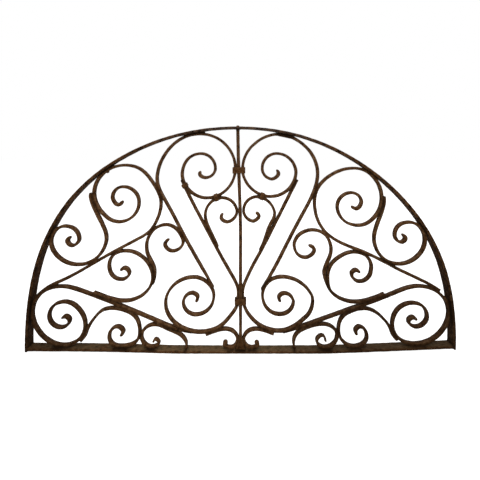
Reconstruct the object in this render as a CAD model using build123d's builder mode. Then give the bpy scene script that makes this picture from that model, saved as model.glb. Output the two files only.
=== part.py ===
from build123d import *
from itertools import accumulate, pairwise
from math import atan2, degrees, dist, sqrt
import os

# Transom window grille: hand forged scrolls of flat iron, bedded on each other in an arched
# frame of wider flat iron. The grille stands in the XZ plane and its front faces -Y. The origin
# is under the middle of the sill, half way through its depth. Left is -X, seen from the front.

# Frame, measured over the outside
grille_width = 1205.0
grille_height = 635.0
strap_thickness = 7.6
strap_depth = 32.0
toe_length = 3.0
toe_bevel = 2.5

# Flat iron of the scrolls
scroll_thickness = 7.3
scroll_depth = 14.0

# Upright bar in the middle, with its tenon riveted over the crown and its foot spread
centre_bar_width = 8.8
tenon_diameter = 6.0
rivet_head_diameter = 11.0
rivet_head_height = 3.5
foot_width = 26.0
foot_height = 40.0

# Bands wrapped round bars that run side by side
band_thickness = 2.2
band_corner = 1.5
collar_height = 17.5
collar_slack = 2.3
clip_width = 11.0
clip_slack = 1.2

# Rivet that holds the left shoulder scroll to the arch
shank_diameter = 5.0
shank_head_diameter = 12.0
shank_head_height = 4.0

# Left between pieces where one beds on another, and round a tenon
seat_gap = 0.3

# Ends of the bars: (distance from the end, share of the full thickness)
SNUB = ((0, 0.5), (4, 1.1), (14, 1.25), (40, 1.0))
PLAIN = ((0, 0.7), (6, 1.0))
CURLED = ((0, 0.6), (15, 0.75), (45, 1.0))
DRAWN = ((0, 0.3), (55, 1.0))
LAPPED = ((0, 0.6), (25, 1.0))
SQUARE = ((0, 1.0), (1, 1.0))
UPSET = ((0, 0.9), (8, 1.35), (45, 1.25), (110, 1.0))

# Set-out of the grille in millimetres: across from the middle, and up from the top of the sill.
# It is stretched to the frame, so that it fits whatever the frame measures.
SET_OUT_HALF_SPAN = 595
SET_OUT_RISE = 620
SILL_TOP = ((-595, 7), (-370, 5), (-170, 0), (235, 0), (595, 14))
ARCH_INSIDE = (
    (-593, 73), (-564, 248), (-476, 417), (-329, 538), (-153, 605), (0, 620),
    (153, 601), (323, 528), (466, 407), (562, 246), (592, 103),
)
CENTRE_LINE = ((-7, 620), (-3, 463), (0.5, 343), (0.5, 230), (0.5, 115), (0.5, 0))
UPPER_COLLAR = ((-14, 504), (6, 504))
LOWER_COLLAR = ((-8, 133), (9, 133))

# Scrolls as points along the middle of the bar, from the curled end to the tail
UPPER_RING = {
    "left": (
        (-112, 501), (-115, 494), (-99, 483), (-70, 511), (-113, 552), (-164, 502), (-143, 446),
        (-100, 426), (-46, 443), UPPER_COLLAR[0], (-53, 587), (-114, 607), (-170, 592),
        (-208, 557), (-233, 503), (-235, 471), (-213, 420), (-160, 320), (-117, 243), (-76, 173),
    ),
    "right": (
        (103, 505), (108, 494), (88, 479), (62, 514), (104, 552), (157, 505), (151, 471),
        (136, 450), (90, 430), (35, 449), UPPER_COLLAR[1], (49, 586), (112, 606), (165, 587),
        (199, 555), (219, 500), (204, 434), (168, 365), (126, 284), (83, 203), (60, 167),
    ),
}
LOWER_RING = {
    "left": (
        (-126, 133), (-122, 149), (-136, 157), (-162, 128), (-123, 95), (-75, 148), (-92, 185),
        (-134, 202), (-211, 139), (-188, 75), (-157, 55), (-100, 47), (-58, 62), (-22, 100),
        (-10, 121), LOWER_COLLAR[0], (-6.6, 165), (-29, 216), (-87, 322), (-143, 429), (-166, 476),
    ),
    "right": (
        (114, 133), (110, 147), (124, 156), (151, 131), (110, 96), (63, 145), (79, 188),
        (127, 202), (206, 134), (169, 74), (107, 49), (26, 93), (11.5, 121), LOWER_COLLAR[1], (7, 162),
        (14, 188), (59, 277), (100, 357), (145, 446), (162, 477),
    ),
}
HEART = {
    "left": (
        (-49, 381), (-54, 369), (-37, 358), (-10, 392), (-58, 426), (-99, 383), (-96, 358),
        (-76, 315), (-63, 289),
    ),
    "right": (
        (44, 384), (53, 375), (36, 360), (10, 397), (50, 429), (97, 378), (84, 349), (71, 315),
        (55, 279),
    ),
}
SHOULDER = {
    "left": (
        (-334, 417), (-345, 406), (-362, 429), (-331, 458), (-286, 412), (-341, 358),
        (-390, 383), (-414, 443), (-383, 500), (-336, 518), (-284, 508), (-246, 467),
        (-225, 419), (-233, 371), (-257, 332), (-299, 305), (-398, 251), (-510, 190),
        (-545, 174), (-580, 144),
    ),
    "right": (
        (316, 402), (331, 396), (343, 417), (311, 441), (274, 398), (331, 348), (383, 375),
        (400, 435), (354, 503), (305, 509), (254, 489), (217, 449), (211, 398), (231, 342),
        (270, 307), (354, 271), (453, 221), (538, 180), (563, 165),
    ),
}
HAUNCH = {
    "left": (
        (-481, 315), (-489, 302), (-476, 291), (-456, 310), (-495, 346), (-522, 335),
        (-536, 305), (-525, 270), (-463, 237), (-413, 252), (-379, 312), (-393, 356),
        (-413.5, 400), (-421.5, 425), (-423, 440),
    ),
    "right": (
        (459, 322), (467, 310), (455, 300), (437, 324), (476, 357), (505, 347), (523, 306),
        (503, 262), (447, 239), (404, 256), (379, 307), (390, 358), (405, 403), (408, 430),
    ),
}
CORNER = {
    "left": (
        (-504, 86), (-492, 90), (-483, 80), (-509, 59), (-541, 99), (-500, 132), (-456, 110),
        (-439, 66), (-458, 25), (-506, 9), (-556, 32), (-589, 102), (-576, 142), (-541, 169),
        (-497, 175), (-447, 162), (-356, 128), (-259, 88), (-175, 55), (-136, 46),
    ),
    "right": (
        (498, 81), (484, 87), (476, 79), (495, 61), (529, 97), (487, 129), (431, 80), (452, 26),
        (488, 13), (555, 34), (590, 97), (584, 130), (559, 159), (510, 176), (468, 170),
        (426, 153), (312, 112), (221, 79), (160, 58), (122, 46),
    ),
}
SILL_SCROLL = {
    "left": (
        (-339, 37), (-332, 50), (-347, 62), (-371, 37), (-363, 14), (-326, 7), (-292, 23),
        (-285, 57), (-298, 91), (-324, 107), (-361, 114), (-388, 109), (-413, 86),
        (-433.4, 53.4), (-440, 36.2), (-451, 21.5),
    ),
    "right": (
        (330, 40), (327, 54), (337, 62), (358, 37), (350, 16), (312, 7), (284, 29), (278, 57),
        (289, 90), (317, 107), (354, 113), (381, 104), (403, 86), (424.9, 56.3), (431.6, 39.1),
        (442.9, 24.4),
    ),
}
MIDDLE = {
    "left": (
        (-338, 221), (-324, 227), (-314, 213), (-338, 195), (-371, 228), (-361, 262),
        (-319, 276), (-284, 264), (-256, 233), (-248, 199), (-262, 165), (-313, 136),
        (-384, 146), (-415, 158),
    ),
    "right": (
        (337, 215), (324, 221), (315, 212), (337, 189), (371, 227), (360, 258), (319, 273),
        (282, 260), (253.5, 231), (247.5, 195), (254.5, 165), (276, 145), (318, 132), (365, 138),
        (408, 154),
    ),
}
SMALL_S = {
    "left": (
        (-202, 308), (-213, 293), (-195, 276), (-162, 299), (-167, 318), (-178, 335),
        (-208, 350), (-242, 338), (-265, 297), (-261, 264), (-244, 230), (-241.5, 207),
        (-246, 183),
    ),
    "right": (
        (194, 291), (210, 278), (183, 257), (153, 287), (160, 314), (200, 335), (233, 327),
        (257, 284), (252, 256), (237, 216), (243, 185), (251, 165),
    ),
}
SILL_C = {
    "left": (
        (-246, 19), (-238, 26), (-230, 16), (-240, 7), (-257, 5), (-279, 29), (-268, 58),
        (-236, 68), (-201, 54), (-168, 38), (-154, 20), (-153, 1),
    ),
    "right": (
        (241, 21), (229, 37), (216, 23), (240, 3), (273.5, 39), (261, 60), (225, 69), (184, 58),
        (160, 43), (151, 23), (154, 1),
    ),
}
FOOT_C = {
    "left": (
        (-38, 14), (-40, 18.5), (-44.5, 18), (-46.5, 12), (-39, 5.5), (-22, 3.5), (-8, 25),
        (-16, 45), (-47, 55), (-73, 49), (-97, 40),
    ),
    "right": (
        (43, 13), (44.5, 17.5), (49, 17.5), (51, 12), (44, 5.5), (25, 3.5), (10, 25), (19, 46),
        (46, 55), (71, 50), (94, 42),
    ),
}

# Where a clip grips its two bars, and where a rivet points
RING_CLIP = {"left": (-68, 426.8), "right": (61.5, 430.3)}
TAIL_CLIP = (-158, 460.5)
SHOULDER_RIVET = ((-378.5, 503.3), -55.5)

# Corners of the packing iron, before it is cut to the crown and the upper ring
PACKING = {
    "left": ((-101, 607), (-101, 616), (-160, 607), (-160, 598)),
    "right": ((98, 604), (98, 615), (158, 603), (158, 591)),
}

# The most that a flat left by the hammer departs from the curve of a bar
hammer_flat = 0.38

# Sides of a hammered rivet head, and how far they lean in, in degrees
HEAD_FACETS = 8
HEAD_TAPER = 32

os.makedirs("parts", exist_ok=True)


across = (grille_width / 2 - strap_thickness) / SET_OUT_HALF_SPAN
up = (grille_height - 2 * strap_thickness) / SET_OUT_RISE


def place(point):
    """Brings a set-out point to its place in a frame of the given size."""
    return point[0] * across, strap_thickness + point[1] * up


def share_at(distance, shape):
    """Share of the full thickness at a distance from the end of a bar."""
    for (near, near_share), (far, far_share) in pairwise(shape):
        if distance < far:
            return near_share + (far_share - near_share) * (distance - near) / (far - near)
    return shape[-1][1]


def stations(points):
    """Yields places along the smooth line through the points: (position, normal, distance).

    There is one at each point, and three on the way to the next.
    """
    line = Edge.make_spline([Vector(*point) for point in points])
    chords = list(accumulate((dist(a, b) for a, b in pairwise(points)), initial=0.0))
    quarters = [a + (b - a) * part / 4 for a, b in pairwise(chords) for part in range(4)]
    for chord in [*quarters, chords[-1]]:
        along = chord / chords[-1]
        yield line @ along, (line % along).rotate(Axis.Z, 90), along * line.length


def long_edge(places):
    """Edge of a bar through the places, span by span.

    A span is one, two or four flats, or an arc where four flats would leave the curve too far.
    """
    with BuildLine() as edge:
        for first in range(0, len(places) - 1, 4):
            span = places[first : first + 5]
            rise = (span[2] - (span[0] + span[4]) / 2).length
            if rise < 16 * hammer_flat:
                flats = 1 if rise < hammer_flat else 2 if rise < 4 * hammer_flat else 4
                Polyline(*span[:: 4 // flats])
            else:
                ThreePointArc(span[0], span[2], span[4])
    return edge.line


def bar_outline(points, left, right, tip=SQUARE, tail=SQUARE):
    """Outline of a bent bar that reaches left and right of the line through the points."""
    places = list(stations(points))
    length = places[-1][2]
    left_side = []
    right_side = []
    for position, normal, distance in places:
        share = share_at(distance, tip) * share_at(length - distance, tail)
        left_side.append(position + normal * left * share)
        right_side.append(position - normal * right * share)
    left_edge = long_edge(left_side)
    right_edge = long_edge(right_side)
    with BuildSketch() as outline:
        with BuildLine():
            add(left_edge)
            add(right_edge)
            Line(left_side[0], right_side[0])
            Line(left_side[-1], right_side[-1])
        make_face()
    return outline.sketch


def cut_seats(outline, seats):
    """Takes the seats of the pieces it beds on out of an outline, and keeps the main part."""
    with BuildSketch() as dressed:
        add(outline)
        for seat in seats:
            add(seat, mode=Mode.SUBTRACT)
    return dressed.faces().sort_by(SortBy.AREA)[-1]


def in_depth(outline, depth):
    """A piece of even depth with the given outline, centred in the depth of the grille."""
    with BuildPart() as piece:
        with BuildSketch(Plane.XZ.offset(-depth / 2)):
            add(outline)
        extrude(amount=depth)
    return piece


def finish(piece, name):
    piece.part.label = name
    export_step(piece.part, f"parts/{name}.step")


def plane_along(x, z, lean):
    """Plane across the grille at a place: its z axis leans up from +X by the given degrees."""
    return Plane(origin=(x, 0, z), x_dir=(0, 1, 0), z_dir=Vector(1, 0, 0).rotate(Axis.Y, -lean))


def rivet_hole(plane, diameter, reach):
    """Cuts a hole through the piece in hand along the plane's z, as far as it reaches."""
    with Locations(plane.location):
        Cylinder(diameter / 2 + seat_gap, 2 * reach, mode=Mode.SUBTRACT)


def rivet(plane, shank, head, height, start, seat=0.0):
    """Adds a shank from start up to its seat, and the hammered head on it, along the plane's z."""
    with BuildSketch(plane.offset(start)) as stem:
        Circle(shank / 2)
    extrude(stem.sketch, amount=seat - start)
    with BuildSketch(plane.offset(seat)) as rim:
        RegularPolygon(head / 2, HEAD_FACETS)
    extrude(rim.sketch, amount=height, taper=HEAD_TAPER)


# Frame: the sill, and the arch whose legs pass its ends

sill_top = [place(point) for point in SILL_TOP]
sill_under = [(x, z - strap_thickness) for x, z in sill_top]
legs = [(x, z - toe_length) for x, z in (sill_under[0], sill_under[-1])]
arch_line = [legs[0], *(place(point) for point in ARCH_INSIDE), legs[1]]
arch_outline = bar_outline(arch_line, strap_thickness, 0)
arch_seat = bar_outline(arch_line, strap_thickness, seat_gap)


def sill_outline(raised=0.0):
    """Outline of the sill, or its seat where the top is raised."""
    with BuildSketch() as outline:
        with BuildLine():
            Polyline(*((x, z + raised) for x, z in sill_top), *reversed(sill_under), close=True)
        make_face()
    return outline.sketch


sill_seat = sill_outline(seat_gap)

crown_x, crown_z = place(CENTRE_LINE[0])
crown_plane = plane_along(crown_x, crown_z, 90)

shoulder_at, shoulder_lean = SHOULDER_RIVET
shoulder_plane = plane_along(*place(shoulder_at), shoulder_lean)
shoulder_reach = scroll_thickness + strap_thickness

with BuildSketch() as arch_face:
    add(arch_outline)
    for leg, lean in zip(legs, (45, -45)):
        with Locations(leg):
            Rectangle(4 * toe_bevel, toe_bevel * sqrt(2), rotation=lean, mode=Mode.SUBTRACT)

with BuildPart() as arch_bar:
    with BuildSketch(Plane.XZ.offset(-strap_depth / 2)):
        add(arch_face.sketch)
    extrude(amount=strap_depth)
    rivet_hole(crown_plane, tenon_diameter, 2 * strap_thickness)
    rivet_hole(shoulder_plane, shank_diameter, shoulder_reach)
finish(arch_bar, "arch_bar")

sill_bar = in_depth(cut_seats(sill_outline(), [arch_seat]), strap_depth)
finish(sill_bar, "sill_bar")

# Centre bar: it stands on the sill on a spread foot, and its tenon is riveted over the crown

centre_line = [place(point) for point in CENTRE_LINE]


def spread_foot(half_bar, half_foot):
    """Outline of the foot, whose sides sweep in until they are just inside those of the bar."""
    foot_x, foot_z = centre_line[-1]
    sides = []
    with BuildSketch() as foot:
        with BuildLine():
            for side in (-1, 1):
                neck_x = foot_x + side * (half_bar - seat_gap)
                sides.append(
                    Bezier(
                        (foot_x + side * half_foot, foot_z),
                        (neck_x, foot_z + foot_height / 2),
                        (neck_x, foot_z + foot_height),
                    )
                )
            Line(sides[0] @ 0, sides[1] @ 0)
            Line(sides[0] @ 1, sides[1] @ 1)
        make_face()
    return foot.sketch


def centre_outline(gap=0.0):
    """Outline of the centre bar and its foot, or the seat that they need."""
    half = centre_bar_width / 2 + gap
    bar = bar_outline(centre_line, half, half)
    foot = spread_foot(half, foot_width / 2 + gap)
    with BuildSketch() as outline:
        add(bar)
        add(foot)
    return outline.sketch


centre_seat = centre_outline(seat_gap)
centre_face = cut_seats(centre_outline(), [arch_seat, sill_outline()])

with BuildPart() as centre_bar:
    with BuildSketch(Plane.XZ.offset(-scroll_depth / 2)):
        add(centre_face)
    extrude(amount=scroll_depth)
    rivet(
        crown_plane,
        tenon_diameter,
        rivet_head_diameter,
        rivet_head_height,
        start=-strap_thickness,
        seat=strap_thickness + seat_gap,
    )
finish(centre_bar, "centre_bar")

# Scrolls: each beds on the ones made before it


def scroll(points, tip, tail, beds_on):
    """Outline of a scroll cut to what it beds on, and the seat that it needs itself."""
    line = [place(point) for point in points]
    half = scroll_thickness / 2
    outline = bar_outline(line, half, half, tip, tail)
    seat = bar_outline(line, half + seat_gap, half + seat_gap, tip, tail)
    return cut_seats(outline, beds_on), seat


upper_seats = {}
shoulder_tails = {"left": DRAWN, "right": SQUARE}
haunch_tails = {"left": UPSET, "right": PLAIN}

for side in ("left", "right"):
    lower_ring, lower = scroll(LOWER_RING[side], SNUB, LAPPED, [centre_seat])
    upper_ring, upper = scroll(UPPER_RING[side], SNUB, DRAWN, [arch_seat, lower])
    heart, _ = scroll(HEART[side], SNUB, DRAWN, [upper, lower])
    corner, low = scroll(CORNER[side], SNUB, DRAWN, [arch_seat, sill_seat, lower])
    shoulder, high = scroll(
        SHOULDER[side], SNUB, shoulder_tails[side], [arch_seat, upper, low]
    )
    haunch, _ = scroll(HAUNCH[side], SNUB, haunch_tails[side], [arch_seat, high])
    middle, mid = scroll(MIDDLE[side], SNUB, SQUARE, [high, low])
    small_s, _ = scroll(SMALL_S[side], SNUB, DRAWN, [upper, high, mid])
    sill_scroll, s_seat = scroll(SILL_SCROLL[side], SNUB, PLAIN, [sill_seat, low])
    sill_c, _ = scroll(SILL_C[side], CURLED, LAPPED, [sill_seat, s_seat, low])
    foot_c, _ = scroll(FOOT_C[side], CURLED, SQUARE, [sill_seat, centre_seat, lower])
    upper_seats[side] = upper

    outlines = {
        "lower_ring_scroll": lower_ring,
        "upper_ring_scroll": upper_ring,
        "heart_scroll": heart,
        "corner_scroll": corner,
        "haunch_scroll": haunch,
        "middle_c_scroll": middle,
        "small_s_scroll": small_s,
        "sill_s_scroll": sill_scroll,
        "sill_c_scroll": sill_c,
        "foot_c_scroll": foot_c,
    }
    for name, outline in outlines.items():
        finish(in_depth(outline, scroll_depth), f"{name}_{side}")

    shoulder_scroll = in_depth(shoulder, scroll_depth)
    if side == "left":
        with shoulder_scroll:
            rivet_hole(shoulder_plane, shank_diameter, shoulder_reach)
    finish(shoulder_scroll, f"shoulder_scroll_{side}")

# Rivet through the left shoulder scroll and the arch, with its head inside the scroll

with BuildPart() as shoulder_rivet:
    rivet(
        shoulder_plane,
        shank_diameter,
        shank_head_diameter,
        shank_head_height,
        start=1 - scroll_thickness / 2 - strap_thickness,
        seat=scroll_thickness / 2 + 2 * seat_gap,
    )
finish(shoulder_rivet, "shoulder_rivet")

# Packing iron, cut to the crown above and the ring below

for side, corners in PACKING.items():
    with BuildSketch() as wedge:
        with BuildLine():
            Polyline(*(place(corner) for corner in corners), close=True)
        make_face()
    packing = cut_seats(wedge.sketch, [arch_seat, upper_seats[side]])
    finish(in_depth(packing, scroll_depth), f"crown_packer_{side}")

# Bands: a strip of iron closed round bars that run side by side


def band(x, z, lean, inside_width, length):
    """A band whose bars run at the given lean through a place."""
    inside_depth = scroll_depth + 2 * seat_gap
    with BuildPart() as strip:
        with BuildSketch(plane_along(x, z, lean).offset(-length / 2)):
            outside = Rectangle(
                inside_depth + 2 * band_thickness,
                inside_width + 2 * band_thickness,
            )
            chamfer(outside.vertices(), band_corner)
            Rectangle(inside_depth, inside_width, mode=Mode.SUBTRACT)
        extrude(amount=length)
    return strip


def collar(outer_bars):
    """A collar round upright bars, given the middles of the two outer ones."""
    (left_x, level), (right_x, _) = outer_bars
    inside_width = (right_x - left_x) * across + scroll_thickness + 2 * collar_slack
    return band(*place(((left_x + right_x) / 2, level)), 90, inside_width, collar_height)


def clip(at, first_bar, second_bar):
    """A clip round two bars, square to them and midway between their middles near a place."""
    spot = Vertex(*place(at))
    lines = [Edge.make_spline([Vector(*place(p)) for p in bar]) for bar in (first_bar, second_bar)]
    first, second = (line.closest_points(spot)[0] for line in lines)
    middle = (first + second) / 2
    along = lines[0] % lines[0].param_at_point(first)
    inside_width = (second - first).length + scroll_thickness + 2 * clip_slack
    return band(middle.X, middle.Y, degrees(atan2(along.Y, along.X)), inside_width, clip_width)


finish(collar(UPPER_COLLAR), "upper_collar")
finish(collar(LOWER_COLLAR), "lower_collar")

for side, at in RING_CLIP.items():
    finish(clip(at, UPPER_RING[side], HEART[side]), f"ring_clip_{side}")
finish(clip(TAIL_CLIP, UPPER_RING["left"], LOWER_RING["left"]), "tail_clip")
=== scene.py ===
from math import cos, pi, sin

import bmesh
import bpy
import numpy as np
from bpy.props import FloatProperty, FloatVectorProperty, PointerProperty
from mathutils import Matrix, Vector, noise
from mathutils.geometry import delaunay_2d_cdt
from mathutils.kdtree import KDTree


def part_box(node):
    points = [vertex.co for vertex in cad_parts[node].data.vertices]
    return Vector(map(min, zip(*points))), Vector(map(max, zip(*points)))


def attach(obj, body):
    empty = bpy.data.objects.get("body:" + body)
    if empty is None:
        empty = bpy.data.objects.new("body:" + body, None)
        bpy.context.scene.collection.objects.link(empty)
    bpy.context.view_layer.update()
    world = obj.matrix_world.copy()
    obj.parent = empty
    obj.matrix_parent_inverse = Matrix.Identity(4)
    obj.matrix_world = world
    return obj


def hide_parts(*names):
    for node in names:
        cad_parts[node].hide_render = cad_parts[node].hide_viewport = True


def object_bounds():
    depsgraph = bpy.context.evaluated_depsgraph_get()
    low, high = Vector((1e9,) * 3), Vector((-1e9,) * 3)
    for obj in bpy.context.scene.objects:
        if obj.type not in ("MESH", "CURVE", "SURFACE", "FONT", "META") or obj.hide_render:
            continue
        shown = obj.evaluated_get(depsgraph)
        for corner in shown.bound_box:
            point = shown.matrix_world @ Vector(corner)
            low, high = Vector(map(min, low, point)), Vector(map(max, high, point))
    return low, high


bl_info = {
    "name": "Transom Window Grille",
    "version": (1, 0, 0),
    "blender": (4, 5, 0),
    "location": "View3D > Sidebar > Grille",
    "description": "Dresses a forged iron transom window grille as old rusted wrought iron",
    "category": "Object",
}

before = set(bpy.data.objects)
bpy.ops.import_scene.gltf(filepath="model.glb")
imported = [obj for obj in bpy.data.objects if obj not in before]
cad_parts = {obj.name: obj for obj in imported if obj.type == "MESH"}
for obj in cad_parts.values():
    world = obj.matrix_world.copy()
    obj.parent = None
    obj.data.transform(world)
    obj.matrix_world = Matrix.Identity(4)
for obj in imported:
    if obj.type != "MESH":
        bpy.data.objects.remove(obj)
cad_low, cad_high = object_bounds()

SIDES = ("left", "right")
SCROLLS = (
    "upper_ring_scroll",
    "lower_ring_scroll",
    "heart_scroll",
    "shoulder_scroll",
    "haunch_scroll",
    "corner_scroll",
    "sill_s_scroll",
    "middle_c_scroll",
    "small_s_scroll",
    "sill_c_scroll",
    "foot_c_scroll",
)
FRAME_BARS = ("arch_bar", "sill_bar")
BANDS = ("upper_collar", "lower_collar", "ring_clip_left", "ring_clip_right", "tail_clip")
PACKERS = ("crown_packer_left", "crown_packer_right")

# An angle sharper than CORNER stays a corner, and a curve leaves a flat by MOST_SWELL at most
CORNER = 0.6
MOST_SWELL = 0.00045

# Most of a bar's thickness that an arris or a dent takes
MOST_ARRIS = 0.28
MOST_DENT = 0.12

# Share of the thickness between the last row of the face and the side, on a bar no thicker
# than WIDEST_BAR
FACE_INSET = 0.36
WIDEST_BAR = 0.009

# Distance between the rows of vertices across a bar's side
SIDE_STEP = 0.005

# The small dents are this many times finer than the broad ones
FINER = 3.1

# Share of a joint's darkening, partly dark rust and partly painted shade between the bars, that the
# faces are spared, and the share of it that the bands have
FACE_SPARED = 0.15
CENTRE_FACE_SPARED = 0.6
BAND_STAIN = 0.1

# Places where the iron is darkened towards the bottom: x, z, distances of full and no effect, share
DARKER_PLACES = (
    (-0.61, 0.06, 0.06, 0.36, 0.6),
    (0.61, 0.06, 0.06, 0.36, 0.6),
    (0.29, 0.06, 0.1, 0.24, 0.5),
)

FOCAL_LENGTH = 26.08
EYE = (0.00195, -0.986, 0.5832)
SHIFT = (-0.0021, -0.198)


# Sizes and colours that can be changed in the sidebar


class IronSizes(bpy.types.PropertyGroup):
    arris: FloatProperty(
        name="Arris",
        description="Radius worn onto the long edges of a bar",
        default=0.0011,
        unit="LENGTH",
    )
    station: FloatProperty(
        name="Station",
        description="Distance between the rows of vertices along a bar",
        default=0.0027,
        unit="LENGTH",
    )
    hammer_depth: FloatProperty(
        name="Hammer depth",
        description="Depth of the dents that the hammer left",
        default=0.0006,
        unit="LENGTH",
    )
    hammer_pitch: FloatProperty(
        name="Hammer pitch",
        description="Size of the dents that the hammer left",
        default=0.013,
        unit="LENGTH",
    )
    band_grain: FloatProperty(
        name="Band grain",
        description="Size of the mesh on collars, clips and rivet heads",
        default=0.0006,
        unit="LENGTH",
    )
    packed_rust: FloatProperty(
        name="Packed rust",
        description="How far the rust packed into a joint swells each bar there",
        default=0.0005,
        unit="LENGTH",
    )
    crust: FloatProperty(
        name="Crust",
        description="Thickness of the rust that has grown on the sides of the scrolls",
        default=0.0005,
        unit="LENGTH",
    )
    # The dark at a joint is partly dark rust and partly painted shade between the bars
    joint_reach: FloatProperty(
        name="Joint reach",
        description="How far from a meeting of two bars the iron is stained dark",
        default=0.007,
        unit="LENGTH",
    )


class IronColours(bpy.types.PropertyGroup):
    rust: FloatVectorProperty(
        name="Rust",
        description="Brown rust that covers most of the iron",
        default=(0.074, 0.0320, 0.0110),
        subtype="COLOR",
        size=3,
    )
    scale: FloatVectorProperty(
        name="Fire scale",
        description="Near-black scale left in dents and joints",
        default=(0.010, 0.0045, 0.0017),
        subtype="COLOR",
        size=3,
    )
    worn: FloatVectorProperty(
        name="Worn rust",
        description="Lighter rust on rubbed edges and high spots",
        default=(0.155, 0.088, 0.042),
        subtype="COLOR",
        size=3,
    )
    stain: FloatVectorProperty(
        name="Stain",
        description="Olive grey stain on the flat iron of the frame",
        default=(0.072, 0.047, 0.0215),
        subtype="COLOR",
        size=3,
    )
    smoke: FloatVectorProperty(
        name="Smoke",
        description="Purple grey tone of the iron at the crown",
        default=(0.046, 0.032, 0.026),
        subtype="COLOR",
        size=3,
    )


# Outline of a bar, taken from the front of its solid


def front_outline(node):
    """Corners of the front of a node as (x, z), in order round the iron with it on the left."""
    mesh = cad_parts[node].data
    places = np.array([vertex.co for vertex in mesh.vertices])
    front = places[:, 1].min() + 1e-6
    known = {}
    flat = np.round(places[:, [0, 2]] * 1e6)
    same = [known.setdefault(tuple(place), i) for i, place in enumerate(flat)]
    following = {}
    for polygon in mesh.polygons:
        corners = list(polygon.vertices)
        if places[corners, 1].max() > front:
            continue
        for start, end in zip(corners, corners[1:] + corners[:1]):
            start, end = same[start], same[end]
            if start in following.get(end, ()):
                following[end].remove(start)
            else:
                following.setdefault(start, []).append(end)
    loops = []
    while any(following.values()):
        start = next(i for i, ends in following.items() if ends)
        loop = [start]
        while following[loop[-1]]:
            loop.append(following[loop[-1]].pop())
            if loop[-1] == start:
                break
        loops.append(places[loop[:-1]][:, [0, 2]])
    return max(loops, key=len)


def unit(vectors):
    return vectors / np.maximum(np.linalg.norm(vectors, axis=-1, keepdims=True), 1e-12)


def turns(points):
    """Angle that the outline turns through at each point, positive round a corner of the iron."""
    into = unit(points - np.roll(points, 1, 0))
    out = unit(np.roll(points, -1, 0) - points)
    return np.arctan2(into[:, 0] * out[:, 1] - into[:, 1] * out[:, 0], (into * out).sum(1))


def thinned(points, least, corner):
    """The points without those that crowd another, corners kept first."""
    sharp = np.abs(turns(points)) > corner
    kept = []
    for point, is_sharp in zip(points, sharp):
        if kept and np.linalg.norm(point - kept[-1][0]) < least:
            if is_sharp and not kept[-1][1]:
                kept[-1] = (point, is_sharp)
            continue
        kept.append((point, is_sharp))
    if np.linalg.norm(kept[0][0] - kept[-1][0]) < least:
        kept.pop()
    return np.array([point for point, _ in kept])


def drawn_curve(points, step, corner):
    """The outline as one smooth line between its corners, with a point at each step."""
    before = points - np.roll(points, 1, 0)
    after = np.roll(points, -1, 0) - points
    back = np.linalg.norm(before, axis=1, keepdims=True)
    ahead = np.linalg.norm(after, axis=1, keepdims=True)
    along = unit(before / back * ahead + after / ahead * back)
    sharp = np.abs(turns(points)) > corner
    curve = []
    for i, point in enumerate(points):
        j = (i + 1) % len(points)
        chord = ahead[i, 0]
        straight = after[i] / chord
        most = min(1.0, MOST_SWELL / (0.15 * chord))
        swing = [along[k] - straight if not sharp[k] else np.zeros(2) for k in (i, j)]
        leaving, arriving = (
            straight + part * min(1.0, most / max(np.linalg.norm(part), 1e-9)) for part in swing
        )
        pieces = max(1, round(chord / step))
        for k in range(pieces):
            t = k / pieces
            curve.append(
                (2 * t**3 - 3 * t**2 + 1) * point
                + (t**3 - 2 * t**2 + t) * chord * leaving
                + (3 * t**2 - 2 * t**3) * points[j]
                + (t**3 - t**2) * chord * arriving
            )
    return np.clip(curve, points.min(0), points.max(0))


def inward(points):
    """Direction into the iron at each point, longer at a corner so that its sides keep even."""
    into = unit(points - np.roll(points, 1, 0))
    out = unit(np.roll(points, -1, 0) - points)
    mean = unit(into + out)
    stretch = np.clip((mean * out).sum(1, keepdims=True), 0.6, 1)
    return np.column_stack((-mean[:, 1], mean[:, 0])) / stretch


def thickness(points, inside):
    """Distance from each point across the iron to its other side."""
    ends = np.roll(points, -1, 0)
    side = ends - points
    across = np.empty(len(points))
    for i, (point, direction) in enumerate(zip(points, unit(inside))):
        gap = points - point
        cross = direction[0] * side[:, 1] - direction[1] * side[:, 0]
        cross = np.where(np.abs(cross) < 1e-12, 1e-12, cross)
        away = (gap[:, 0] * side[:, 1] - gap[:, 1] * side[:, 0]) / cross
        share = (gap[:, 0] * direction[1] - gap[:, 1] * direction[0]) / cross
        met = (away > 1e-5) & (share >= 0) & (share <= 1)
        across[i] = away[met].min() if met.any() else 0.001
    return across


def evened(values, reach):
    """Values round the outline, none above its neighbours' least, without sudden steps."""
    least = np.min([np.roll(values, shift) for shift in range(-reach, reach + 1)], axis=0)
    return np.mean([np.roll(least, shift) for shift in range(-reach, reach + 1)], axis=0)


outlines = {}
outline_tree = []


def stations(node):
    """Places round the smoothed outline of a bar, worked out once for each node."""
    if node not in outlines:
        step = bpy.context.scene.iron_sizes.station
        crowded = step / 4
        corners = thinned(front_outline(node), crowded, CORNER)
        outlines[node] = thinned(drawn_curve(corners, step, CORNER), crowded, CORNER)
    return outlines[node]


def neighbour_tree():
    """A tree of all outlines, with the node that each place belongs to."""
    if not outline_tree:
        flat = [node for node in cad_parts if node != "shoulder_rivet"]
        owners = [(node, place) for node in flat for place in stations(node)]
        tree = KDTree(len(owners))
        for i, (_, place) in enumerate(owners):
            tree.insert((place[0], 0, place[1]), i)
        tree.balance()
        outline_tree.extend((tree, [node for node, _ in owners]))
    return outline_tree


def nearness(node, places):
    """1 where a place touches another bar, falling to 0 at the joint's reach."""
    tree, owners = neighbour_tree()
    reach = bpy.context.scene.iron_sizes.joint_reach
    near = []
    for x, z in places:
        found = [gap for _, i, gap in tree.find_range((x, 0, z), reach) if owners[i] != node]
        gap = min(found, default=reach)
        near.append(max(0.0, min(1.0, 1.15 * (1 - gap / reach))))
    return np.array(near)


# Mesh


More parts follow.
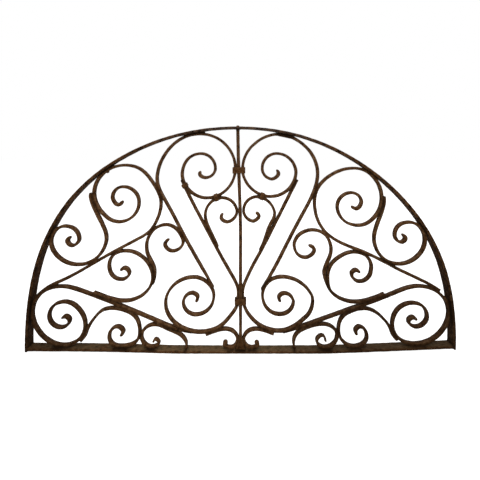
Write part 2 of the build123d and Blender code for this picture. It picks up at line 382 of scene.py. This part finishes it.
def dent(place, seed):
    """Depth of the hammer's dents at a place, from 0 to 1."""
    sizes = bpy.context.scene.iron_sizes
    broad = noise.noise(Vector(place) / sizes.hammer_pitch + Vector((seed, 0, 0)))
    fine = noise.noise(Vector(place) / sizes.hammer_pitch * FINER + Vector((0, seed, 0)))
    return max(0.0, min(1.0, 0.25 + 0.75 * broad + 0.25 * fine))


def piece_from(name, mesh, finish, node):
    """Puts a mesh in the scene as a piece that stands for the node."""
    mesh.materials.clear()
    mesh.materials.append(bpy.data.materials[finish])
    for polygon in mesh.polygons:
        polygon.use_smooth = True
    piece = bpy.data.objects.new(name, mesh)
    bpy.context.scene.collection.objects.link(piece)
    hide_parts(node)
    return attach(piece, "root")


def set_shares(mesh, name, values):
    attribute = mesh.attributes.new(name, "FLOAT", "POINT")
    attribute.data.foreach_set("value", np.asarray(values, np.float32))


def face_inset(places, arris, across):
    """How far in from the side the last row of the face lies, less by a corner."""
    sharp = np.abs(turns(places)) > CORNER
    by_corner = np.max([np.roll(sharp, shift) for shift in range(-4, 5)], axis=0)
    least = 1.25 * arris
    wanted = FACE_INSET * np.minimum(across, WIDEST_BAR)
    return np.where(by_corner, least, np.maximum(wanted, least))


def section(arris, face, depth):
    """The half section of a bar from the middle of its face to the middle of its side.

    Each row is how far in from the side it lies, how far back from the face, how much it faces
    the side, how much it faces front, and how much it is arris.
    """
    rows = [(face, 0 * arris, 0.0, 1.0, 0.0)]
    for angle in (0, pi / 6, pi / 3, pi / 2):
        rows.append(
            (
                arris * (1 - sin(angle)),
                arris * (1 - cos(angle)),
                sin(angle),
                cos(angle),
                sin(2 * angle) + 0.25,
            )
        )
    between = max(1, round(depth / 2 / SIDE_STEP))
    for i in range(1, between + 1):
        share = i / (between + 0.5)
        rows.append((0 * arris, arris + (depth / 2 - arris) * share, 1.0, 0.0, 0.0))
    return rows


def cap_over(mesh, ring, turned):
    """Closes the face of a bar within a ring of its vertices."""
    flat = [Vector((vertex.co.x, vertex.co.z)) for vertex in ring]
    places, _, triangles, owners, _, _ = delaunay_2d_cdt(flat, [], [range(len(flat))], 1, 1e-7)
    level = ring[0].co.y
    corners = []
    for place, owner in zip(places, owners):
        corners.append(ring[owner[0]] if owner else mesh.verts.new((place.x, level, place.y)))
    for triangle in triangles:
        loop = [corners[i] for i in triangle]
        if len(set(loop)) == 3:
            mesh.faces.new(reversed(loop) if turned else loop)


def forged_bar(node, seed):
    """A bar with the outline of its node, worn arrises and the marks of the hammer."""
    sizes = bpy.context.scene.iron_sizes
    low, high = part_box(node)
    front_y = low.y
    depth = high.y - low.y
    if node == "centre_bar":
        depth = -2 * front_y
    places = stations(node)
    inside = inward(places)
    across = evened(thickness(places, inside), 1)
    arris = evened(np.minimum(sizes.arris, MOST_ARRIS * across), 2)
    near = nearness(node, places)
    swell = sizes.packed_rust * near**2
    if node not in FRAME_BARS:
        swell = swell + sizes.crust
    rows = section(arris, face_inset(places, arris, across), depth)
    rings = [(row, 1) for row in rows] + [(row, -1) for row in reversed(rows)]
    face_spared = CENTRE_FACE_SPARED if node == "centre_bar" else FACE_SPARED
    mesh = bmesh.new()
    grid = []
    edges = []
    nears = []
    for (inset, back, sideways, forward, worn), facing in rings:
        ring = []
        for i, place in enumerate(places):
            y = front_y + back[i] if facing > 0 else front_y + depth - back[i]
            x, z = place + inside[i] * inset[i]
            sunk = sizes.hammer_depth * dent((x, y, z), seed) * (1 - near[i] * sideways)
            sunk = min(sunk, MOST_DENT * across[i])
            x, z = np.array((x, z)) + inside[i] * (sunk - swell[i]) * sideways
            ring.append(mesh.verts.new((x, y + facing * sunk * forward, z)))
            edges.append(worn)
            # How dark the joint is here, dark rust with painted shade, less on the face
            nears.append(near[i] * (1 - face_spared * forward))
        grid.append(ring)
    for upper, lower in zip(grid, grid[1:]):
        for i in range(len(places)):
            j = (i + 1) % len(places)
            mesh.faces.new((upper[j], upper[i], lower[i], lower[j]))
    cap_over(mesh, grid[0], turned=False)
    cap_over(mesh, grid[-1], turned=True)
    bmesh.ops.recalc_face_normals(mesh, faces=mesh.faces[:])
    spare = len(mesh.verts) - len(edges)
    edges.extend([0.0] * spare)
    nears.extend([0.0] * spare)
    made = bpy.data.meshes.new(node)
    mesh.to_mesh(made)
    mesh.free()
    set_shares(made, "arris", edges)
    set_shares(made, "joint", nears)
    return made


def softened(node, seed, above=None):
    """A small forging, or the part of one above a height, with its edges hammered soft."""
    sizes = bpy.context.scene.iron_sizes
    mesh = bmesh.new()
    mesh.from_mesh(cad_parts[node].data)
    bmesh.ops.remove_doubles(mesh, verts=mesh.verts[:], dist=1e-6)
    if above is not None:
        bmesh.ops.bisect_plane(
            mesh,
            geom=mesh.verts[:] + mesh.edges[:] + mesh.faces[:],
            plane_co=(0, 0, above),
            plane_no=(0, 0, 1),
            clear_inner=True,
        )
        bmesh.ops.holes_fill(mesh, edges=[edge for edge in mesh.edges if edge.is_boundary])
    rough = bpy.data.meshes.new(f"{node}_rough")
    mesh.to_mesh(rough)
    mesh.free()
    holder = bpy.data.objects.new(f"{node}_rough", rough)
    bpy.context.scene.collection.objects.link(holder)
    remesh = holder.modifiers.new("grain", "REMESH")
    remesh.mode = "VOXEL"
    remesh.voxel_size = sizes.band_grain
    made = bpy.data.meshes.new_from_object(
        holder.evaluated_get(bpy.context.evaluated_depsgraph_get())
    )
    bpy.data.objects.remove(holder)
    bpy.data.meshes.remove(rough)
    mesh = bmesh.new()
    mesh.from_mesh(made)
    for _ in range(3):
        bmesh.ops.smooth_vert(
            mesh, verts=mesh.verts[:], factor=0.5, use_axis_x=True, use_axis_y=True, use_axis_z=True
        )
    mesh.normal_update()
    bulges = []
    for vertex in mesh.verts:
        around = [edge.other_vert(vertex).co for edge in vertex.link_edges]
        middle = sum(around, Vector()) / len(around)
        bulges.append(max(0.0, (vertex.co - middle).dot(vertex.normal) / sizes.band_grain * 6))
    sunk = [sizes.hammer_depth * dent(vertex.co, seed) for vertex in mesh.verts]
    for vertex, depth in zip(mesh.verts, sunk):
        vertex.co -= vertex.normal * depth
    mesh.to_mesh(made)
    mesh.free()
    set_shares(made, "arris", np.clip(bulges, 0, 1))
    set_shares(made, "joint", [BAND_STAIN] * len(made.vertices))
    return made


def joined(name, meshes):
    """One mesh from several, with their shares of arris and joint kept."""
    mesh = bmesh.new()
    for part in meshes:
        mesh.from_mesh(part)
    made = bpy.data.meshes.new(name)
    mesh.to_mesh(made)
    mesh.free()
    for part in meshes:
        bpy.data.meshes.remove(part)
    return made


# Materials


def node_maker(material):
    """Returns a function that adds a shader node and links or sets its inputs.

    An input is given by its name, or by its number after an underscore.
    """
    tree = material.node_tree

    def make(kind, settings=None, **inputs):
        node = tree.nodes.new(kind)
        for name, value in (settings or {}).items():
            setattr(node, name, value)
        for name, value in inputs.items():
            key = int(name[1:]) if name[0] == "_" else name.replace("_", " ")
            socket = node.inputs[key]
            if isinstance(value, bpy.types.NodeSocket):
                tree.links.new(value, socket)
            else:
                socket.default_value = value
        return node

    return make


def rusted_iron(name, stained, smoked_share, darkened, roughness):
    """Old forged iron: brown rust over dark scale, rubbed lighter at the arrises.

    stained is the share of olive stain, partly painted light on the lit sides of the frame,
    smoked_share that of the crown's purple grey, and darkened is how much the scale shows through.
    """
    colours = bpy.context.scene.iron_colours
    rust = (*colours.rust, 1)
    scale = (*colours.scale, 1)
    worn = (*colours.worn, 1)
    stain = (*colours.stain, 1)
    smoke = (*colours.smoke, 1)
    material = bpy.data.materials.get(name) or bpy.data.materials.new(name)
    material.use_nodes = True
    tree = material.node_tree
    tree.nodes.clear()
    make = node_maker(material)

    place = make("ShaderNodeTexCoord").outputs["Object"]
    patches = make("ShaderNodeTexNoise", Vector=place, Scale=14.0, Detail=4.0, Roughness=0.6)
    mottle = make("ShaderNodeTexNoise", Vector=place, Scale=95.0, Detail=6.0, Roughness=0.68)
    pits = make("ShaderNodeTexVoronoi", Vector=place, Scale=520.0)
    dents = make("ShaderNodeTexNoise", Vector=place, Scale=70.0, Detail=2.0, Roughness=0.5)
    grit = make("ShaderNodeTexNoise", Vector=place, Scale=900.0, Detail=3.0, Roughness=0.7)
    arris = make("ShaderNodeAttribute", {"attribute_name": "arris"}).outputs["Fac"]
    joint = make("ShaderNodeAttribute", {"attribute_name": "joint"}).outputs["Fac"]

    def ramp(value, *stops):
        node = make("ShaderNodeValToRGB", _0=value)
        band = node.color_ramp
        for position, colour in stops[1:-1]:
            band.elements.new(position).color = colour
        band.elements[0].position, band.elements[0].color = stops[0]
        band.elements[-1].position, band.elements[-1].color = stops[-1]
        return node.outputs["Color"]

    def between(low, high, value):
        node = make("ShaderNodeMapRange", _0=value, _1=low, _2=high)
        return node.outputs["Result"]

    def times(first, second):
        return make("ShaderNodeMath", {"operation": "MULTIPLY"}, _0=first, _1=second).outputs[0]

    def mixed(share, under, over):
        node = make("ShaderNodeMix", {"data_type": "RGBA"}, _0=share, _6=under, _7=over)
        return node.outputs[2]

    def around(x, z, near, far):
        """1 within a distance of a place on the grille, falling to 0 further off."""
        away = make(
            "ShaderNodeVectorMath", {"operation": "DISTANCE"}, _0=place, _1=(x, 0, z)
        ).outputs["Value"]
        return between(far, near, away)

    deep = 0.36 + 0.07 * darkened
    skin = ramp(
        mottle.outputs["Fac"],
        (deep - 0.06, scale),
        (deep + 0.11, rust),
        (max(0.52, deep + 0.12), rust),
        (0.74, worn),
    )
    old = ramp(mottle.outputs["Fac"], (0.26, scale), (0.42, stain), (0.82, worn))
    spread = 0.30 * stained
    stains = times(between(0.62 - spread, 0.72 - spread, patches.outputs["Fac"]), stained)
    # On the frame the lighter olive stain lies only behind the front face, on the bar's sides:
    # partly a real stain, partly painted light on the lit top of the sill, with the front face left
    # darker as painted shade
    depth = make("ShaderNodeSeparateXYZ", Vector=place).outputs["Y"]
    skin = mixed(times(stains, between(-0.0158, -0.0125, depth)), skin, old)
    smoked = ramp(mottle.outputs["Fac"], (0.36, scale), (0.48, smoke), (0.78, worn))
    skin = mixed(times(around(0, 0.68, 0.12, 0.32), smoked_share), skin, smoked)
    rubbed = times(arris, between(0.42, 0.64, mottle.outputs["Fac"]))
    skin = mixed(times(rubbed, 0.65), skin, worn)
    # Darker where bars meet: partly dark rust in the joints, partly painted shade between the bars,
    # less on the faces that look out
    joint_dark_and_shade = times(joint, between(0.30, 0.60, patches.outputs["Fac"]))
    skin = mixed(joint_dark_and_shade, skin, scale)
    # Near black in the tightest joints: dark rust with painted shade in the crevice
    skin = mixed(times(between(0.80, 1.0, joint), 0.75), skin, scale)
    # Darker towards the feet of the legs and at the bottom right
    for x, z, near, far, share in DARKER_PLACES:
        skin = mixed(times(around(x, z, near, far), share), skin, scale)
    pitted = between(0.16, 0.34, pits.outputs["Distance"])
    skin = mixed(pitted, mixed(0.55, skin, scale), skin)

    height = make(
        "ShaderNodeMath",
        {"operation": "MULTIPLY_ADD"},
        _0=mottle.outputs["Fac"],
        _1=0.55,
        _2=times(dents.outputs["Fac"], 0.9),
    ).outputs[0]
    height = make(
        "ShaderNodeMath", {"operation": "MULTIPLY_ADD"}, _0=pitted, _1=0.16, _2=height
    ).outputs[0]
    height = make(
        "ShaderNodeMath", {"operation": "MULTIPLY_ADD"}, _0=grit.outputs["Fac"], _1=0.18, _2=height
    ).outputs[0]
    bump = make("ShaderNodeBump", Strength=0.8, Distance=0.0011, Height=height)
    gloss = make(
        "ShaderNodeMapRange",
        _0=mottle.outputs["Fac"],
        _1=0.35,
        _2=0.70,
        _3=roughness + 0.12,
        _4=roughness - 0.10,
    ).outputs["Result"]
    finish = make(
        "ShaderNodeBsdfPrincipled",
        Base_Color=skin,
        Roughness=gloss,
        Specular_IOR_Level=0.03,
        Normal=bump.outputs["Normal"],
    )
    make("ShaderNodeOutputMaterial", Surface=finish.outputs["BSDF"])
    return material


# Operators


class GRILLE_OT_finishes(bpy.types.Operator):
    """Makes the rusted finishes of the frame, the scrolls and the bands"""

    bl_idname = "grille.finishes"
    bl_label = "Finishes"

    def execute(self, context):
        rusted_iron("arch_iron", stained=0.2, smoked_share=0.8, darkened=1.3, roughness=0.78)
        rusted_iron("sill_iron", stained=0.95, smoked_share=0.0, darkened=0.1, roughness=0.78)
        rusted_iron("bar_iron", stained=0.25, smoked_share=0.2, darkened=0.2, roughness=0.70)
        rusted_iron("band_iron", stained=0.1, smoked_share=0.0, darkened=0.0, roughness=0.74)
        return {"FINISHED"}


class GRILLE_OT_frame(bpy.types.Operator):
    """Forges the arch and the sill"""

    bl_idname = "grille.frame"
    bl_label = "Frame"

    def execute(self, context):
        for seed, node in enumerate(FRAME_BARS):
            finish = node.replace("bar", "iron")
            piece_from(f"{node}_forged", forged_bar(node, seed), finish, node)
        return {"FINISHED"}


class GRILLE_OT_centre_bar(bpy.types.Operator):
    """Forges the upright, with its riveted head over the crown"""

    bl_idname = "grille.centre_bar"
    bl_label = "Centre bar"

    def execute(self, context):
        bar = forged_bar("centre_bar", 3)
        head = softened("centre_bar", 4, above=float(stations("centre_bar")[:, 1].max()) + 0.001)
        mesh = joined("centre_bar", [bar, head])
        piece_from("centre_bar_forged", mesh, "bar_iron", "centre_bar")
        return {"FINISHED"}


class GRILLE_OT_scrolls(bpy.types.Operator):
    """Forges the eleven scrolls of each side"""

    bl_idname = "grille.scrolls"
    bl_label = "Scrolls"

    def execute(self, context):
        for seed, name in enumerate(SCROLLS, start=5):
            for side in SIDES:
                node = f"{name}_{side}"
                mesh = forged_bar(node, seed + (20 if side == "left" else 40))
                piece_from(f"{node}_forged", mesh, "bar_iron", node)
        return {"FINISHED"}


class GRILLE_OT_packers(bpy.types.Operator):
    """Forges the wedges between the crown and the upper rings"""

    bl_idname = "grille.packers"
    bl_label = "Packers"

    def execute(self, context):
        for seed, node in enumerate(PACKERS, start=70):
            piece_from(f"{node}_forged", forged_bar(node, seed), "bar_iron", node)
        return {"FINISHED"}


class GRILLE_OT_bands(bpy.types.Operator):
    """Forges the collars, the clips and the shoulder's rivet"""

    bl_idname = "grille.bands"
    bl_label = "Bands and rivet"

    def execute(self, context):
        for seed, node in enumerate((*BANDS, "shoulder_rivet"), start=80):
            piece_from(f"{node}_forged", softened(node, seed), "band_iron", node)
        return {"FINISHED"}


# Stage


def camera_ray(make):
    """1 for what the camera sees directly, in a reflection or through glass."""
    path = make("ShaderNodeLightPath")
    seen = make(
        "ShaderNodeMath",
        {"operation": "MAXIMUM"},
        _0=path.outputs["Is Camera Ray"],
        _1=path.outputs["Is Glossy Ray"],
    ).outputs[0]
    return make(
        "ShaderNodeMath",
        {"operation": "MAXIMUM"},
        _0=seen,
        _1=path.outputs["Is Transmission Ray"],
    ).outputs[0]


def lamp(name, place, target, size, power):
    """A square soft light that looks at a point."""
    data = bpy.data.lights.new(name, "AREA")
    data.size = size
    data.energy = power
    light = bpy.data.objects.new(name, data)
    light.location = place
    light.rotation_euler = (Vector(target) - Vector(place)).to_track_quat("-Z", "Y").to_euler()
    bpy.context.scene.collection.objects.link(light)


class GRILLE_OT_stage(bpy.types.Operator):
    """Sets the camera, the pale floor and the soft light"""

    bl_idname = "grille.stage"
    bl_label = "Stage"

    def execute(self, context):
        scene = context.scene
        scene.view_settings.view_transform = "Standard"

        world = bpy.data.worlds.new("pale room")
        scene.world = world
        world.use_nodes = True
        world.node_tree.nodes.clear()
        make = node_maker(world)
        level = make("ShaderNodeMapRange", _0=camera_ray(make), _3=0.12, _4=1.0)
        sky = make(
            "ShaderNodeBackground", Color=(1, 1, 1, 1), Strength=level.outputs["Result"]
        )
        make("ShaderNodeOutputWorld", Surface=sky.outputs[0])

        mesh = bpy.data.meshes.new("floor")
        build = bmesh.new()
        bmesh.ops.create_grid(build, x_segments=1, y_segments=1, size=12)
        build.to_mesh(mesh)
        build.free()
        floor = bpy.data.objects.new("floor", mesh)
        floor.location.z = cad_low.z - 0.0002
        scene.collection.objects.link(floor)
        pale = bpy.data.materials.new("pale floor")
        pale.use_nodes = True
        pale.node_tree.nodes.clear()
        make = node_maker(pale)
        glow = make(
            "ShaderNodeMath", {"operation": "MULTIPLY"}, _0=camera_ray(make), _1=0.955
        ).outputs[0]
        matt = make("ShaderNodeBsdfDiffuse", Color=(0.45, 0.45, 0.45, 1))
        lift = make("ShaderNodeEmission", Color=(1, 1, 1, 1), Strength=glow)
        both = make("ShaderNodeAddShader", _0=matt.outputs[0], _1=lift.outputs[0])
        make("ShaderNodeOutputMaterial", Surface=both.outputs[0])
        mesh.materials.append(pale)

        middle = (0, 0, 0.35)
        lamp("front softbox", (-0.3, -2.6, 2.3), middle, 1.8, 90)
        lamp("top softbox", (0.0, -0.5, 3.0), middle, 1.6, 40)
        lamp("back softbox", (0.6, 3.0, 2.0), middle, 2.0, 60)

        data = bpy.data.cameras.new("camera")
        data.lens = FOCAL_LENGTH
        data.sensor_width = 36
        data.shift_x, data.shift_y = SHIFT
        data.clip_start = 0.01
        camera = bpy.data.objects.new("camera", data)
        camera.location = EYE
        camera.rotation_euler = (pi / 2, 0, 0)
        scene.collection.objects.link(camera)
        scene.camera = camera
        return {"FINISHED"}


class GRILLE_PT_panel(bpy.types.Panel):
    bl_label = "Transom window grille"
    bl_idname = "GRILLE_PT_panel"
    bl_space_type = "VIEW_3D"
    bl_region_type = "UI"
    bl_category = "Grille"

    def draw(self, context):
        layout = self.layout
        for group in (context.scene.iron_sizes, context.scene.iron_colours):
            for name in group.bl_rna.properties.keys():
                if name not in ("name", "rna_type"):
                    layout.prop(group, name)
        for step in STEPS:
            layout.operator(step.bl_idname)


STEPS = (
    GRILLE_OT_finishes,
    GRILLE_OT_frame,
    GRILLE_OT_centre_bar,
    GRILLE_OT_scrolls,
    GRILLE_OT_packers,
    GRILLE_OT_bands,
    GRILLE_OT_stage,
)
CLASSES = (IronSizes, IronColours, *STEPS, GRILLE_PT_panel)


def register():
    for item in CLASSES:
        bpy.utils.register_class(item)
    bpy.types.Scene.iron_sizes = PointerProperty(type=IronSizes)
    bpy.types.Scene.iron_colours = PointerProperty(type=IronColours)


def unregister():
    del bpy.types.Scene.iron_sizes
    del bpy.types.Scene.iron_colours
    for item in reversed(CLASSES):
        bpy.utils.unregister_class(item)


def main():
    register()
    bpy.ops.grille.finishes()
    bpy.ops.grille.frame()
    bpy.ops.grille.centre_bar()
    bpy.ops.grille.scrolls()
    bpy.ops.grille.packers()
    bpy.ops.grille.bands()
    bpy.ops.grille.stage()


if __name__ == "__main__":
    main()
